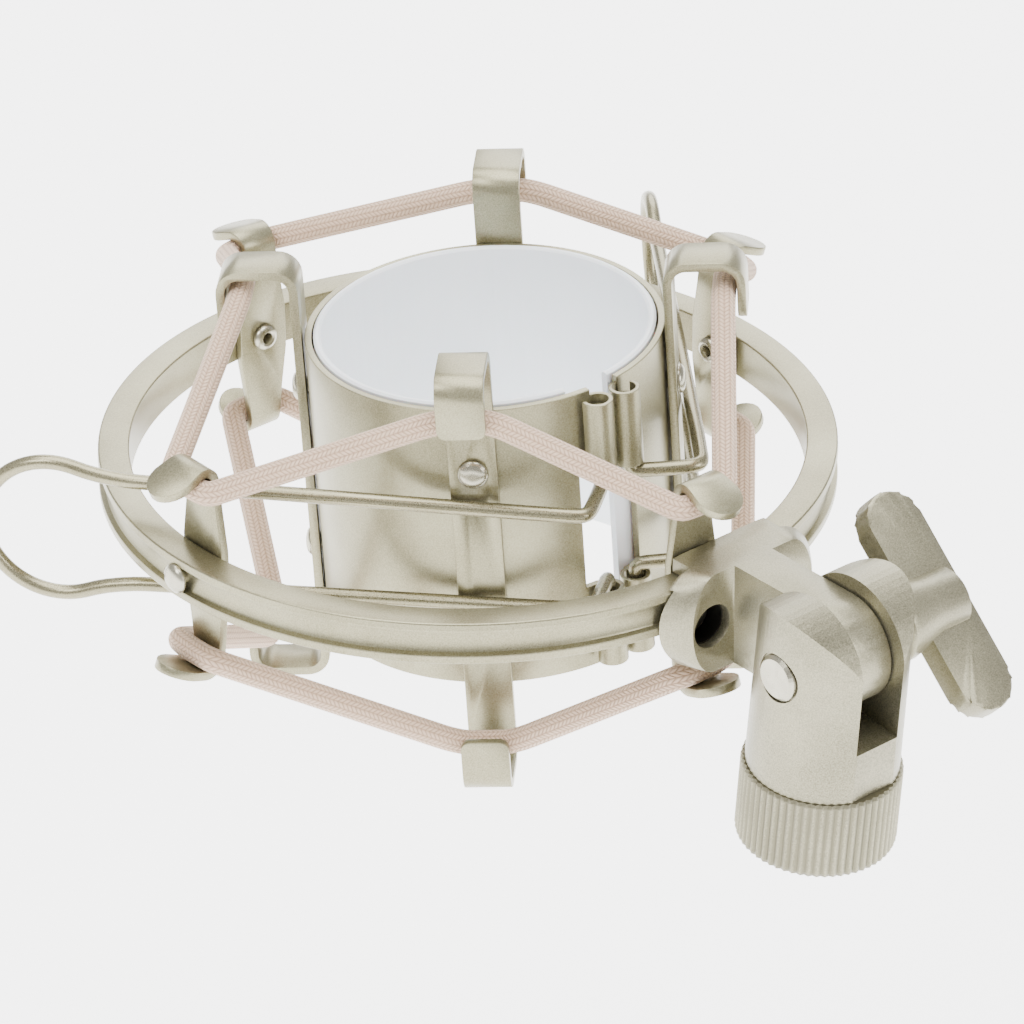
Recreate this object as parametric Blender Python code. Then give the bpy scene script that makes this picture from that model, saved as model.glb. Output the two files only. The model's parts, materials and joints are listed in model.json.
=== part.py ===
"""Elastic-suspended shock mount for a side-address condenser microphone.

Axes: the stand swivel stands upright on the Z axis with the mouth of its thread socket at the
origin; the tilt pin runs along X; the suspension ring lies behind the swivel, towards +Y.
Lengths below are written in millimetres and turned into metres when the meshes are made.
"""
import math

import bmesh
import bpy
from mathutils import Matrix, Vector

MM = 0.001

# stand swivel
KNURL_R, KNURL_H, KNURL_TEETH = 10.7, 11.5, 60
BODY_R_LOW, BODY_R_TOP = 10.15, 9.9
PIVOT_Z = 28.6
EAR_TOP_R = 9.5
SLOT_HALF, SLOT_FLOOR_Z = 3.6, 19.0
SOCKET_R, SOCKET_DEPTH = 7.94, 11.0
THREAD_PITCH, THREAD_DEPTH, THREAD_TURNS = 0.941, 0.45, 6
EAR_FLAT_X = 9.2
PIN_R, PIN_HEAD_R, PIN_HEAD_T = 2.4, 3.2, 0.9

# wing (T) handle
HUB_R, HUB_TIP_R, HUB_END_X = 5.3, 4.3, 20.6
WING_X, WING_T, WING_HALF_LEN, WING_R, WING_TILT = 17.9, 3.6, 11.8, 4.3, 38.0

# ring and its bracket
RING_C = Vector((-4.0, 68.0, 30.6))
RING_R_OUT, RING_R_IN, RING_HALF_H = 50.0, 45.75, 3.02
GROOVE_R, GROOVE_HALF_H = 49.1, 1.65
SEAM_GAP = 1.2
RING_SAG = 5.5
BRACKET_FACE_Y, BRACKET_HALF_H = 15.3, 7.35
SADDLE_HALF_W = 8.0
ARM_HALF_W = 3.3
SCREW_X, SCREW_Z, CBORE_R, SCREW_SINK = 7.1, 28.3, 3.1, 2.2

# outer struts, riveted inside the ring
O_STRUT_R, O_STRUT_T = 44.95, 1.2
O_TAB_Z, O_BEND_R, O_TAB_TIP_R, O_TAB_DROP = 15.2, 2.2, 53.2, 22.0
O_LIFT, O_HALF_MID, O_HALF_NECK, O_HALF_TAB = 0.4, 4.0, 2.6, 3.3

# sleeve and everything that hangs with it, drawn about its own axis, rim at z = 0
SLEEVE_TOP = Vector((-2.4, 66.1, 50.5))
SLEEVE_AXIS = Vector((-0.0319, 0.0446, 0.9985)).normalized()
SLEEVE_R, SLEEVE_WALL, SLEEVE_H = 24.2, 1.0, 41.3
LINER_R_OUT, LINER_R_IN = 23.0, 22.0
KNUCKLE_R, KNUCKLE_BORE, KNUCKLE_OFF, KNUCKLE_RAD = 2.1, 1.45, 2.35, 25.45
KNUCKLE_TOP, KNUCKLE_END = 0.9, 12.1
I_STRUT_R, I_STRUT_T, I_STRUT_HALF_W = 24.95, 1.2, 3.2
HOOK_UP, HOOK_DOWN, HOOK_LIP_R, HOOK_LIP_LEN, HOOK_BEND_R = 10.1, 10.9, 34.8, 8.3, 2.6
RIVET_R, RIVET_SHANK = 2.05, 1.2
RIVET_ZS = (-8.6, -32.7)

# elastic bands
BAND_R = 1.65
BAND_HOOK_R = 32.35
HOOK_SEATS = {"front_left": 2.9, "front_right": 5.0, "back_right": 4.0, "back_left": 6.0}
BAND_LOW_SEAT = 6.6

# squeeze handles, bent from spring wire
WIRE_R = 1.0
WIRE_GAP_IN, WIRE_GAP_OUT = 7.0, 7.8
WIRE_NECK, LOOP_CENTRE, LOOP_R = 60.0, 72.4, 10.0
# each handle: corner beside its knuckle, direction of the wires, rise along them
WIRE_RUNS = {
    "wire_handle_left": ((-9.7, -31.05), (-0.625, 0.781), 0.033),
    "wire_handle_right": ((10.2, -31.7), (0.59, 0.807), 0.0),
}

HOOK_DIRS = {
    "front_left": (-1, -1), "front_right": (1, -1), "back_right": (1, 1), "back_left": (-1, 1),
}
STRUT_DIRS = {"front": (0, -1), "right": (1, 0), "back": (0, 1), "left": (-1, 0)}

COLOURS = {
    "satin_nickel": ((0.56, 0.53, 0.44), 0.42, 0.85),
    "rivet_nickel": ((0.62, 0.60, 0.52), 0.30, 0.95),
    "cast_nickel": ((0.57, 0.54, 0.45), 0.48, 0.80),
    "liner_white": ((0.83, 0.86, 0.90), 0.45, 0.0),
    "elastic_beige": ((0.76, 0.60, 0.49), 0.85, 0.0),
    "wire_steel": ((0.52, 0.49, 0.40), 0.35, 0.90),
    "screw_steel": ((0.30, 0.29, 0.27), 0.40, 0.95),
}


# ---------------------------------------------------------------- helpers

def clear_scene():
    for obj in list(bpy.data.objects):
        bpy.data.objects.remove(obj, do_unlink=True)


def principled(name, key):
    colour, rough, metal = COLOURS[key]
    mat = bpy.data.materials.new(name + "_mat")
    mat.use_nodes = True
    shader = mat.node_tree.nodes["Principled BSDF"]
    shader.inputs["Base Color"].default_value = (*colour, 1.0)
    shader.inputs["Roughness"].default_value = rough
    shader.inputs["Metallic"].default_value = metal
    mat.diffuse_color = (*colour, 1.0)
    return mat


def add_object(name, bm, key, origin=(0.0, 0.0, 0.0), smooth_deg=35.0):
    """Make a named object, still in millimetres, with its origin at `origin`."""
    bmesh.ops.recalc_face_normals(bm, faces=bm.faces)
    origin = Vector(origin)
    bmesh.ops.translate(bm, verts=bm.verts, vec=-origin)
    mesh = bpy.data.meshes.new(name)
    bm.to_mesh(mesh)
    bm.free()
    obj = bpy.data.objects.new(name, mesh)
    obj.location = origin
    bpy.context.scene.collection.objects.link(obj)
    if key:
        mesh.materials.append(principled(name, key))
    shade(mesh, smooth_deg)
    return obj


def shade(mesh, smooth_deg):
    for poly in mesh.polygons:
        poly.use_smooth = True
    mesh.set_sharp_from_angle(angle=math.radians(smooth_deg))


def boolean(target, cutters, mode):
    """Apply an exact boolean with scratch cutters, which are removed again afterwards."""
    for cutter in cutters:
        cutter.hide_render = True
        cutter.display_type = "WIRE"
        mod = target.modifiers.new("cut", "BOOLEAN")
        mod.operation = mode
        mod.solver = "EXACT"
        mod.object = cutter
    bpy.context.view_layer.update()
    graph = bpy.context.evaluated_depsgraph_get()
    result = bpy.data.meshes.new_from_object(target.evaluated_get(graph))
    materials = [slot.material for slot in target.material_slots]
    target.modifiers.clear()
    target.data = result
    result.materials.clear()
    for mat in materials:
        result.materials.append(mat)
    for poly in result.polygons:
        poly.material_index = 0
    for cutter in cutters:
        bpy.data.objects.remove(cutter, do_unlink=True)


def weld(obj, dist=0.004):
    """Merge the tiny edges an exact boolean can leave behind."""
    bm = bmesh.new()
    bm.from_mesh(obj.data)
    bmesh.ops.remove_doubles(bm, verts=bm.verts, dist=dist)
    bmesh.ops.dissolve_degenerate(bm, edges=bm.edges, dist=dist)
    bm.to_mesh(obj.data)
    bm.free()
    shade(obj.data, 35.0)


def revolve(profile, segments, start=0.0, sweep=360.0):
    """Spin a closed (radius, z) outline about Z; a part turn is capped at both ends."""
    bm = bmesh.new()
    full = abs(sweep - 360.0) < 1e-6
    count = segments if full else segments + 1
    rings = []
    for i in range(count):
        a = math.radians(start + sweep * i / segments)
        rings.append([bm.verts.new((r * math.cos(a), r * math.sin(a), z)) for r, z in profile])
    pairs = count if full else count - 1
    n = len(profile)
    for i in range(pairs):
        one, two = rings[i], rings[(i + 1) % count]
        for j in range(n):
            bm.faces.new((one[j], one[(j + 1) % n], two[(j + 1) % n], two[j]))
    if not full:
        bm.faces.new(rings[0])
        bm.faces.new(list(reversed(rings[-1])))
    return bm


def lathe(profile, segments):
    """Spin an open (radius, z) outline that starts and ends on the axis about Z."""
    bm = bmesh.new()
    bottom = bm.verts.new((0, 0, profile[0][1]))
    top = bm.verts.new((0, 0, profile[-1][1]))
    rings = []
    for r, z in profile[1:-1]:
        rings.append([
            bm.verts.new((r * math.cos(2 * math.pi * i / segments),
                          r * math.sin(2 * math.pi * i / segments), z))
            for i in range(segments)])
    for i in range(segments):
        k = (i + 1) % segments
        bm.faces.new((bottom, rings[0][k], rings[0][i]))
        bm.faces.new((top, rings[-1][i], rings[-1][k]))
        for low, high in zip(rings, rings[1:]):
            bm.faces.new((low[i], low[k], high[k], high[i]))
    return bm


def cylinder(radius, z0, z1, segments=40, bevel=0.0):
    if bevel:
        profile = [(0, z0), (radius - bevel, z0), (radius, z0 + bevel), (radius, z1 - bevel),
                   (radius - bevel, z1), (0, z1)]
    else:
        profile = [(0, z0), (radius, z0), (radius, z1), (0, z1)]
    return lathe(profile, segments)


def box(x0, x1, y0, y1, z0, z1):
    bm = bmesh.new()
    bmesh.ops.create_cube(bm, size=1.0)
    bmesh.ops.scale(bm, verts=bm.verts, vec=(x1 - x0, y1 - y0, z1 - z0))
    bmesh.ops.translate(bm, verts=bm.verts,
                        vec=((x0 + x1) / 2, (y0 + y1) / 2, (z0 + z1) / 2))
    return bm


def turned(bm, axis_from_z, at=(0.0, 0.0, 0.0)):
    """Lay a shape drawn along Z along another direction, then move it."""
    quat = Vector((0, 0, 1)).rotation_difference(Vector(axis_from_z))
    bm.transform(Matrix.Translation(Vector(at)) @ quat.to_matrix().to_4x4())
    return bm


def prism(outline, depth0, depth1, place):
    """Extrude a closed 2-D outline; `place(u, v, w)` returns the 3-D point."""
    bm = bmesh.new()
    low = [bm.verts.new(place(u, v, depth0)) for u, v in outline]
    high = [bm.verts.new(place(u, v, depth1)) for u, v in outline]
    n = len(outline)
    for i in range(n):
        bm.faces.new((low[i], low[(i + 1) % n], high[(i + 1) % n], high[i]))
    bm.faces.new(list(reversed(low)))
    bm.faces.new(high)
    return bm


def arc(cx, cy, r, a0, a1, steps):
    return [(cx + r * math.cos(math.radians(a0 + (a1 - a0) * i / steps)),
             cy + r * math.sin(math.radians(a0 + (a1 - a0) * i / steps)))
            for i in range(steps + 1)]


def ribbon(line, widths, thick, place):
    """Flat strip along a 2-D centre line in the (out, up) plane; widths are half widths."""
    bm = bmesh.new()
    rows = []
    for i, (u, v) in enumerate(line):
        u0, v0 = line[max(i - 1, 0)]
        u1, v1 = line[min(i + 1, len(line) - 1)]
        tangent = Vector((u1 - u0, v1 - v0)).normalized()
        nu, nv = -tangent.y * thick / 2, tangent.x * thick / 2
        w = widths[i]
        rows.append([bm.verts.new(place(u + s * nu, v + s * nv, e * w))
                     for s, e in ((1, -1), (1, 1), (-1, 1), (-1, -1))])
    for one, two in zip(rows, rows[1:]):
        for j in range(4):
            k = (j + 1) % 4
            bm.faces.new((one[j], one[k], two[k], two[j]))
    bm.faces.new(list(reversed(rows[0])))
    bm.faces.new(rows[-1])
    return bm


def tube(points, radius, sides, closed=False):
    """Round bar along a polyline, with a frame carried along so that it does not twist."""
    pts = [Vector(p) for p in points]
    n = len(pts)
    tangents = []
    for i in range(n):
        before = pts[(i - 1) % n] if closed or i > 0 else pts[i]
        after = pts[(i + 1) % n] if closed or i < n - 1 else pts[i]
        tangents.append((after - before).normalized())
    normal = tangents[0].orthogonal().normalized()
    frames = []
    for i in range(n):
        if i:
            normal = tangents[i - 1].rotation_difference(tangents[i]) @ normal
        normal = (normal - tangents[i] * normal.dot(tangents[i])).normalized()
        frames.append((normal.copy(), tangents[i].cross(normal)))
    twist = 0.0
    if closed:
        carried = tangents[-1].rotation_difference(tangents[0]) @ frames[-1][0]
        twist = math.atan2(carried.dot(frames[0][1]), carried.dot(frames[0][0]))
    bm = bmesh.new()
    rings = []
    for i, p in enumerate(pts):
        a_n, b_n = frames[i]
        offset = -twist * i / n
        rings.append([bm.verts.new(
            p + radius * (math.cos(offset + 2 * math.pi * k / sides) * a_n
                          + math.sin(offset + 2 * math.pi * k / sides) * b_n))
            for k in range(sides)])
    spans = n if closed else n - 1
    for i in range(spans):
        one, two = rings[i], rings[(i + 1) % n]
        for k in range(sides):
            m = (k + 1) % sides
            bm.faces.new((one[k], one[m], two[m], two[k]))
    if not closed:
        bm.faces.new(list(reversed(rings[0])))
        bm.faces.new(rings[-1])
    return bm


def rounded(points, radii, steps=5, closed=False):
    """Polyline with each corner replaced by a smooth bend of the given size."""
    pts = [Vector(p) for p in points]
    n = len(pts)
    out = []
    for i, p in enumerate(pts):
        if not closed and i in (0, n - 1):
            out.append(p)
            continue
        before, after = pts[(i - 1) % n], pts[(i + 1) % n]
        size = radii[i]
        a = p + (before - p).normalized() * min(size, (before - p).length * 0.48)
        b = p + (after - p).normalized() * min(size, (after - p).length * 0.48)
        for s in range(steps + 1):
            t = s / steps
            out.append(a * (1 - t) ** 2 + p * 2 * t * (1 - t) + b * t ** 2)
    return out


def ring_point(direction, out, side, up):
    """Point given outward, sideways and up from the ring centre, in a strut's own frame."""
    d = Vector((direction[0], direction[1], 0)).normalized()
    s = Vector((-d.y, d.x, 0))
    return RING_C + d * out + s * side + Vector((0, 0, up))


TO_SLEEVE = Matrix.Translation(SLEEVE_TOP) @ (
    Vector((0, 0, 1)).rotation_difference(SLEEVE_AXIS).to_matrix().to_4x4())


def sleeve_point(direction, out, side, up):
    """The same in the sleeve's frame, which hangs slightly off the ring's axis."""
    d = Vector((direction[0], direction[1], 0)).normalized()
    s = Vector((-d.y, d.x, 0))
    return TO_SLEEVE @ (d * out + s * side + Vector((0, 0, up)))


# ---------------------------------------------------------------- stand swivel

def swivel_body():
    teeth = KNURL_TEETH * 2
    bm = bmesh.new()
    levels = [(-0.2, 0.0), (0.0, 0.5), (0.0, KNURL_H - 0.5), (-0.2, KNURL_H)]
    rings = []
    for shrink, z in levels:
        row = []
        for i in range(teeth):
            a = 2 * math.pi * i / teeth
            r = KNURL_R + shrink - (0.3 if i % 2 else 0.0)
            row.append(bm.verts.new((r * math.cos(a), r * math.sin(a), z)))
        rings.append(row)
    for low, high in zip(rings, rings[1:]):
        for i in range(teeth):
            k = (i + 1) % teeth
            bm.faces.new((low[i], low[k], high[k], high[i]))
    bm.faces.new(list(reversed(rings[0])))
    bm.faces.new(rings[-1])
    body = add_object("swivel_body", bm, "cast_nickel")

    top = PIVOT_Z + EAR_TOP_R + 2
    shaft = add_object("cut_shaft", lathe(
        [(0, KNURL_H - 2), (BODY_R_LOW, KNURL_H - 2), (BODY_R_LOW, KNURL_H + 2),
         (BODY_R_TOP, top), (0, top)], 72), None)
    # ears rounded over about the tilt pin
    dome = arc(0, PIVOT_Z, EAR_TOP_R, 0, 180, 28) + [(-EAR_TOP_R, 0), (EAR_TOP_R, 0)]
    shell = add_object("cut_dome", prism(dome, -15, 15, lambda u, v, w: (w, u, v)), None)
    boolean(shaft, [shell], "INTERSECT")
    boolean(body, [shaft], "UNION")

    slot = add_object("cut_slot", box(-SLOT_HALF, SLOT_HALF, -14, 14, SLOT_FLOOR_Z, 60), None)
    head, hub, pin = PIN_HEAD_R + 0.25, HUB_R + 0.4, PIN_R + 0.2
    bore = lathe([(0, -14), (head, -14), (head, -EAR_FLAT_X), (pin, -EAR_FLAT_X),
                  (pin, EAR_FLAT_X), (hub, EAR_FLAT_X), (hub, 14), (0, 14)], 40)
    pin_bore = add_object("cut_pin", turned(bore, (1, 0, 0), (0, 0, PIVOT_Z)), None)
    socket = add_object("cut_socket", thread_cutter(), None)
    boolean(body, [slot, pin_bore, socket], "DIFFERENCE")
    weld(body)
    return body


def thread_cutter():
    """Socket bore with ring-shaped 5/8 inch, 27-per-inch thread grooves."""
    minor = SOCKET_R - THREAD_DEPTH
    profile = [(0, -1), (SOCKET_R + 0.4, -1), (SOCKET_R + 0.4, 0), (minor, 0.85)]
    z = 1.0
    for _ in range(THREAD_TURNS):
        profile += [(minor, z), (SOCKET_R, z + THREAD_PITCH * 0.38),
                    (SOCKET_R, z + THREAD_PITCH * 0.5), (minor, z + THREAD_PITCH * 0.88)]
        z += THREAD_PITCH
    profile += [(minor, SOCKET_DEPTH), (0, SOCKET_DEPTH + 1.5)]
    return lathe(profile, 28)


def clamp_screw():
    head = -EAR_FLAT_X - 0.15
    profile = [(0, head - PIN_HEAD_T), (PIN_HEAD_R - 0.5, head - PIN_HEAD_T),
               (PIN_HEAD_R, head - PIN_HEAD_T + 0.4), (PIN_HEAD_R, head), (PIN_R, head),
               (PIN_R, WING_X - 4.5), (PIN_R - 0.4, WING_X - 4.1), (0, WING_X - 4.1)]
    bm = turned(lathe(profile, 36), (1, 0, 0), (0, 0, PIVOT_Z))
    return add_object("clamp_screw", bm, "rivet_nickel", origin=(0, 0, PIVOT_Z))


def wing_handle():
    """Hub with a flat crossbar; the bar lies in the plane of the pin's axis."""
    start = EAR_FLAT_X + 0.25
    profile = [(0, start), (HUB_R - 0.5, start), (HUB_R, start + 0.5), (HUB_R, start + 1.6),
               (HUB_TIP_R, WING_X - 2.0), (HUB_TIP_R, HUB_END_X), (0, HUB_END_X)]
    hub = turned(lathe(profile, 48), (1, 0, 0), (0, 0, PIVOT_Z))
    handle = add_object("wing_handle", hub, "cast_nickel", origin=(0, 0, PIVOT_Z))
    tilt = math.radians(WING_TILT)
    plate = (arc(WING_HALF_LEN, 0, WING_R, -90, 90, 18)
             + arc(-WING_HALF_LEN, 0, WING_R, 90, 270, 18))

    def place(u, v, w):
        y = u * math.cos(tilt) - w * math.sin(tilt)
        z = u * math.sin(tilt) + w * math.cos(tilt)
        return (WING_X + v, y, PIVOT_Z + z)

    bm = prism(plate, -WING_T / 2, WING_T / 2, place)
    across = Vector((0, -math.sin(tilt), math.cos(tilt)))
    rim = [e for e in bm.edges if abs((e.verts[0].co - e.verts[1].co).dot(across)) < 1e-3]
    bmesh.ops.bevel(bm, geom=rim, offset=0.6, segments=2, affect="EDGES", profile=0.6)
    slab = add_object("cut_wing", bm, None)
    boolean(handle, [slab], "UNION")
    hole = add_object("cut_wing_hole", turned(cylinder(PIN_R + 0.2, 0, WING_X - 3.7),
                                              (1, 0, 0), (0, 0, PIVOT_Z)), None)
    boolean(handle, [hole], "DIFFERENCE")
    weld(handle)
    return handle


# ---------------------------------------------------------------- ring side

def ring_bracket():
    """Clamp casting: two-lobed flange on the ring, saddle over its top, arm to the swivel."""
    mid = PIVOT_Z
    back = RING_C.y - RING_R_IN - 0.2
    stations = [(back, 6.8, 7.4), (20.4, 6.8, 7.2), (18.6, 6.8, 6.6), (16.4, 6.7, 4.9),
                (BRACKET_FACE_Y, 6.6, 3.9)]
    bm = bmesh.new()
    rows = []
    for y, flat, lobe in stations:
        row = []
        for i in range(21):
            a = math.radians(-90 + 180 * i / 20)
            row.append(bm.verts.new((flat + lobe * math.cos(a), y,
                                     mid + BRACKET_HALF_H * math.sin(a))))
        for i in range(21):
            a = math.radians(90 + 180 * i / 20)
            row.append(bm.verts.new((-flat + lobe * math.cos(a), y,
                                     mid + BRACKET_HALF_H * math.sin(a))))
        rows.append(row)
    count = len(rows[0])
    for one, two in zip(rows, rows[1:]):
        for i in range(count):
            k = (i + 1) % count
            bm.faces.new((one[i], one[k], two[k], two[i]))
    bm.faces.new(rows[0])
    bm.faces.new(list(reversed(rows[-1])))
    bracket = add_object("ring_bracket", bm, "cast_nickel", origin=(0, 0, PIVOT_Z))

    # hollow the back of the flange to the ring's curve, under the saddle
    gap = 0.25
    hollow = revolve([(20, -30), (RING_R_OUT + gap, -30),
                      (RING_R_OUT + gap, RING_HALF_H + gap), (20, RING_HALF_H + gap)], 120)
    bmesh.ops.translate(hollow, verts=hollow.verts, vec=RING_C)
    ends = [box(s * 24 - 16, s * 24 + 16, 19.0, 40, RING_C.z + 1.0, 60) for s in (-1, 1)]
    cutters = [add_object("cut_hollow", hollow, None)]
    cutters += [add_object(f"cut_end_{i}", bm_end, None) for i, bm_end in enumerate(ends)]
    boolean(bracket, cutters, "DIFFERENCE")

    arm_line = ([(BRACKET_FACE_Y + 1.5, mid - BRACKET_HALF_H),
                 (BRACKET_FACE_Y + 1.5, mid + BRACKET_HALF_H)]
                + arc(0, mid, BRACKET_HALF_H, 90, 270, 24))
    arm = prism(arm_line, -ARM_HALF_W, ARM_HALF_W, lambda u, v, w: (w, u, v))
    boolean(bracket, [add_object("cut_arm", arm, None)], "UNION")
    bores = [add_object("cut_pin", turned(cylinder(PIN_R + 0.2, -9, 9), (1, 0, 0),
                                          (0, 0, PIVOT_Z)), None)]
    for sx in (-1, 1):
        bores.append(add_object(f"cut_bore_{sx}", turned(
            cylinder(CBORE_R, 0, 30, 36), (0, 1, 0), (sx * SCREW_X, 5, SCREW_Z)), None))
    boolean(bracket, bores, "DIFFERENCE")
    weld(bracket)
    return bracket


def ring_seat(sx):
    """Distance along Y to the ring's outer face where a bracket screw meets it."""
    side = sx * SCREW_X - RING_C.x
    return RING_C.y - math.sqrt(RING_R_OUT ** 2 - side ** 2)


def suspension_ring():
    h, g = RING_HALF_H, GROOVE_HALF_H
    profile = [(RING_R_IN, -h), (RING_R_OUT, -h), (RING_R_OUT, -g - 0.1),
               (GROOVE_R, -g + 0.1), (GROOVE_R, g - 0.1), (RING_R_OUT, g + 0.1),
               (RING_R_OUT, h), (RING_R_IN, h)]
    half_gap = math.degrees(SEAM_GAP / 2 / RING_R_OUT)
    seam = math.degrees(math.asin(-RING_C.x / RING_R_OUT))
    bm = revolve(profile, 90, start=-90 + seam + half_gap, sweep=360 - 2 * half_gap)
    bmesh.ops.translate(bm, verts=bm.verts, vec=RING_C)
    ring = add_object("suspension_ring", bm, "satin_nickel", origin=RING_C)
    cutters = []
    for sx in (-1, 1):
        seat = ring_seat(sx) + SCREW_SINK
        step = lathe([(0, 5), (CBORE_R, 5), (CBORE_R, seat), (1.35, seat), (1.35, 40),
                      (0, 40)], 36)
        cutters.append(add_object(f"cut_screw_{sx}", turned(
            step, (0, 1, 0), (sx * SCREW_X, 0, SCREW_Z)), None))
    for name, d in STRUT_DIRS.items():
        depth = RING_R_IN + 1.6 if name == "front" else 55
        cutters.append(add_object(f"cut_rivet_{name}", turned(
            cylinder(RIVET_SHANK + 0.15, 40, depth, 14), (*d, 0), RING_C), None))
    boolean(ring, cutters, "DIFFERENCE")
    weld(ring)
    return ring


def bracket_screw(name, sx):
    seat = ring_seat(sx) + SCREW_SINK - 0.15
    profile = [(0, -1.4), (2.1, -1.4), (2.6, -0.9), (2.6, 0), (1.1, 0), (1.1, 1.7), (0, 1.7)]
    bm = turned(lathe(profile, 28), (0, 1, 0), (sx * SCREW_X, seat, SCREW_Z))
    screw = add_object(name, bm, "screw_steel")
    slots = [add_object(f"cut_cross_{i}", box(
        sx * SCREW_X - w, sx * SCREW_X + w, seat - 3, seat - 0.7,
        SCREW_Z - h, SCREW_Z + h), None) for i, (w, h) in enumerate(((0.35, 1.5), (1.5, 0.35)))]
    boolean(screw, slots, "DIFFERENCE")
    return screw


def outer_strut_line():
    """Centre line (out, up) of half a strut, from the middle up to the tip of its tab."""
    bend = O_STRUT_R + O_BEND_R
    rise = O_TAB_Z - O_BEND_R
    line = [(O_STRUT_R, z) for z in (0, 3.2, 6, 9, rise)]
    line += arc(bend, rise, O_BEND_R, 180, 90 - O_TAB_DROP, 8)[1:]
    u0, v0 = line[-1]
    slope = math.tan(math.radians(O_TAB_DROP))
    tips = (49.0, 50.1, 51.0, 51.8, 52.4, 52.8, 53.05, O_TAB_TIP_R)
    return line + [(u, v0 - slope * (u - u0)) for u in tips]


def outer_strut_width(out, up):
    if out < O_STRUT_R + 0.1:
        fade = min(max(up - 3.0, 0.0) / 9.0, 1.0)
        return O_HALF_MID + (O_HALF_NECK - O_HALF_MID) * fade
    centre = O_TAB_TIP_R - O_HALF_TAB
    if out <= centre:
        spread = min((out - O_STRUT_R) / (centre - O_STRUT_R), 1.0)
        return O_HALF_NECK + (O_HALF_TAB - O_HALF_NECK) * spread
    return max(math.sqrt(max(O_HALF_TAB ** 2 - (out - centre) ** 2, 0.0)), 0.45)


def outer_strut(name, d):
    half = outer_strut_line()
    line = [(u, -v) for u, v in reversed(half[1:])] + half
    widths = [outer_strut_width(u, abs(v)) for u, v in line]
    bm = ribbon(line, widths, O_STRUT_T, lambda u, v, w: ring_point(d, u, w, v + O_LIFT))
    strut = add_object(name, bm, "satin_nickel", origin=ring_point(d, O_STRUT_R, 0, 0))
    hole = turned(cylinder(RIVET_SHANK + 0.15, 40, 50, 14), (*d, 0), RING_C)
    boolean(strut, [add_object("cut_hole", hole, None)], "DIFFERENCE")
    weld(strut)
    return strut


def ring_rivet(name, d):
    """Tubular rivet: rolled tail on the strut, domed head over the ring's groove.

    The front one is under the bracket, so it is cut off flush instead of having a head.
    """
    inner = O_STRUT_R - O_STRUT_T / 2 - 0.12
    neck = RING_R_OUT + 0.15
    profile = [(0, inner - 0.2), (0.55, inner - 0.3), (0.8, inner - 0.95),
               (1.5, inner - 0.85), (1.9, inner - 0.3), (1.9, inner), (RIVET_SHANK, inner)]
    if name == "ring_rivet_front":
        profile += [(RIVET_SHANK, RING_R_IN + 1.4), (0, RING_R_IN + 1.4)]
    else:
        profile += [(RIVET_SHANK, neck), (RIVET_R, neck), (RIVET_R * 0.93, neck + 0.5),
                    (RIVET_R * 0.6, neck + 0.95), (0, neck + 1.1)]
    bm = turned(lathe(profile, 16), (*d, 0), RING_C)
    return add_object(name, bm, "rivet_nickel")


# ---------------------------------------------------------------- sleeve side

def sleeve():
    r_in = SLEEVE_R - SLEEVE_WALL
    slit = math.degrees(math.asin(KNUCKLE_OFF / SLEEVE_R))
    profile = [(r_in, -SLEEVE_H), (SLEEVE_R, -SLEEVE_H), (SLEEVE_R, -0.12),
               (SLEEVE_R - 0.12, 0), (r_in + 0.12, 0), (r_in, -0.12)]
    shell = add_object("sleeve", revolve(profile, 72, start=-90 + slit, sweep=360 - 2 * slit),
                       "satin_nickel")
    window = box(-4.7, 4.7, -30, -18, -SLEEVE_H + KNUCKLE_END, -KNUCKLE_END)
    boolean(shell, [add_object("cut_window", window, None)], "DIFFERENCE")
    spans = ((-KNUCKLE_END, -KNUCKLE_TOP), (KNUCKLE_TOP - SLEEVE_H, KNUCKLE_END - SLEEVE_H))
    places = [(sx, z0, z1) for sx in (-1, 1) for z0, z1 in spans]
    rolls = [add_object(f"roll_{i}", turned(
        cylinder(KNUCKLE_R, z0, z1, 22), (0, 0, 1), (sx * KNUCKLE_OFF, -KNUCKLE_RAD, 0)), None)
        for i, (sx, z0, z1) in enumerate(places)]
    boolean(shell, rolls, "UNION")
    cutters = [add_object(f"cut_bore_{sx}", turned(
        cylinder(KNUCKLE_BORE, -60, 10, 16), (0, 0, 1),
        (sx * KNUCKLE_OFF, -KNUCKLE_RAD, 0)), None) for sx in (-1, 1)]
    for d in HOOK_DIRS.values():
        for z in RIVET_ZS:
            cutters.append(add_object("cut_rivet", turned(
                cylinder(RIVET_SHANK + 0.15, 20, 30, 14), (*d, 0), (0, 0, z)), None))
    boolean(shell, cutters, "DIFFERENCE")
    hang(shell)
    weld(shell)
    return shell


def hang(obj):
    """Move a mesh drawn about the sleeve's axis to where the sleeve hangs."""
    obj.data.transform(Matrix.Translation(-SLEEVE_TOP) @ TO_SLEEVE)
    obj.location = SLEEVE_TOP


def liner():
    profile = [(LINER_R_IN, -SLEEVE_H + 0.3), (LINER_R_OUT, -SLEEVE_H + 0.3),
               (LINER_R_OUT, 0.15), (LINER_R_OUT - 0.3, 0.4), (LINER_R_IN + 0.3, 0.4),
               (LINER_R_IN, 0.15)]
    obj = add_object("liner", revolve(profile, 72, start=-86, sweep=343), "liner_white")
    hang(obj)
    return obj


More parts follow.
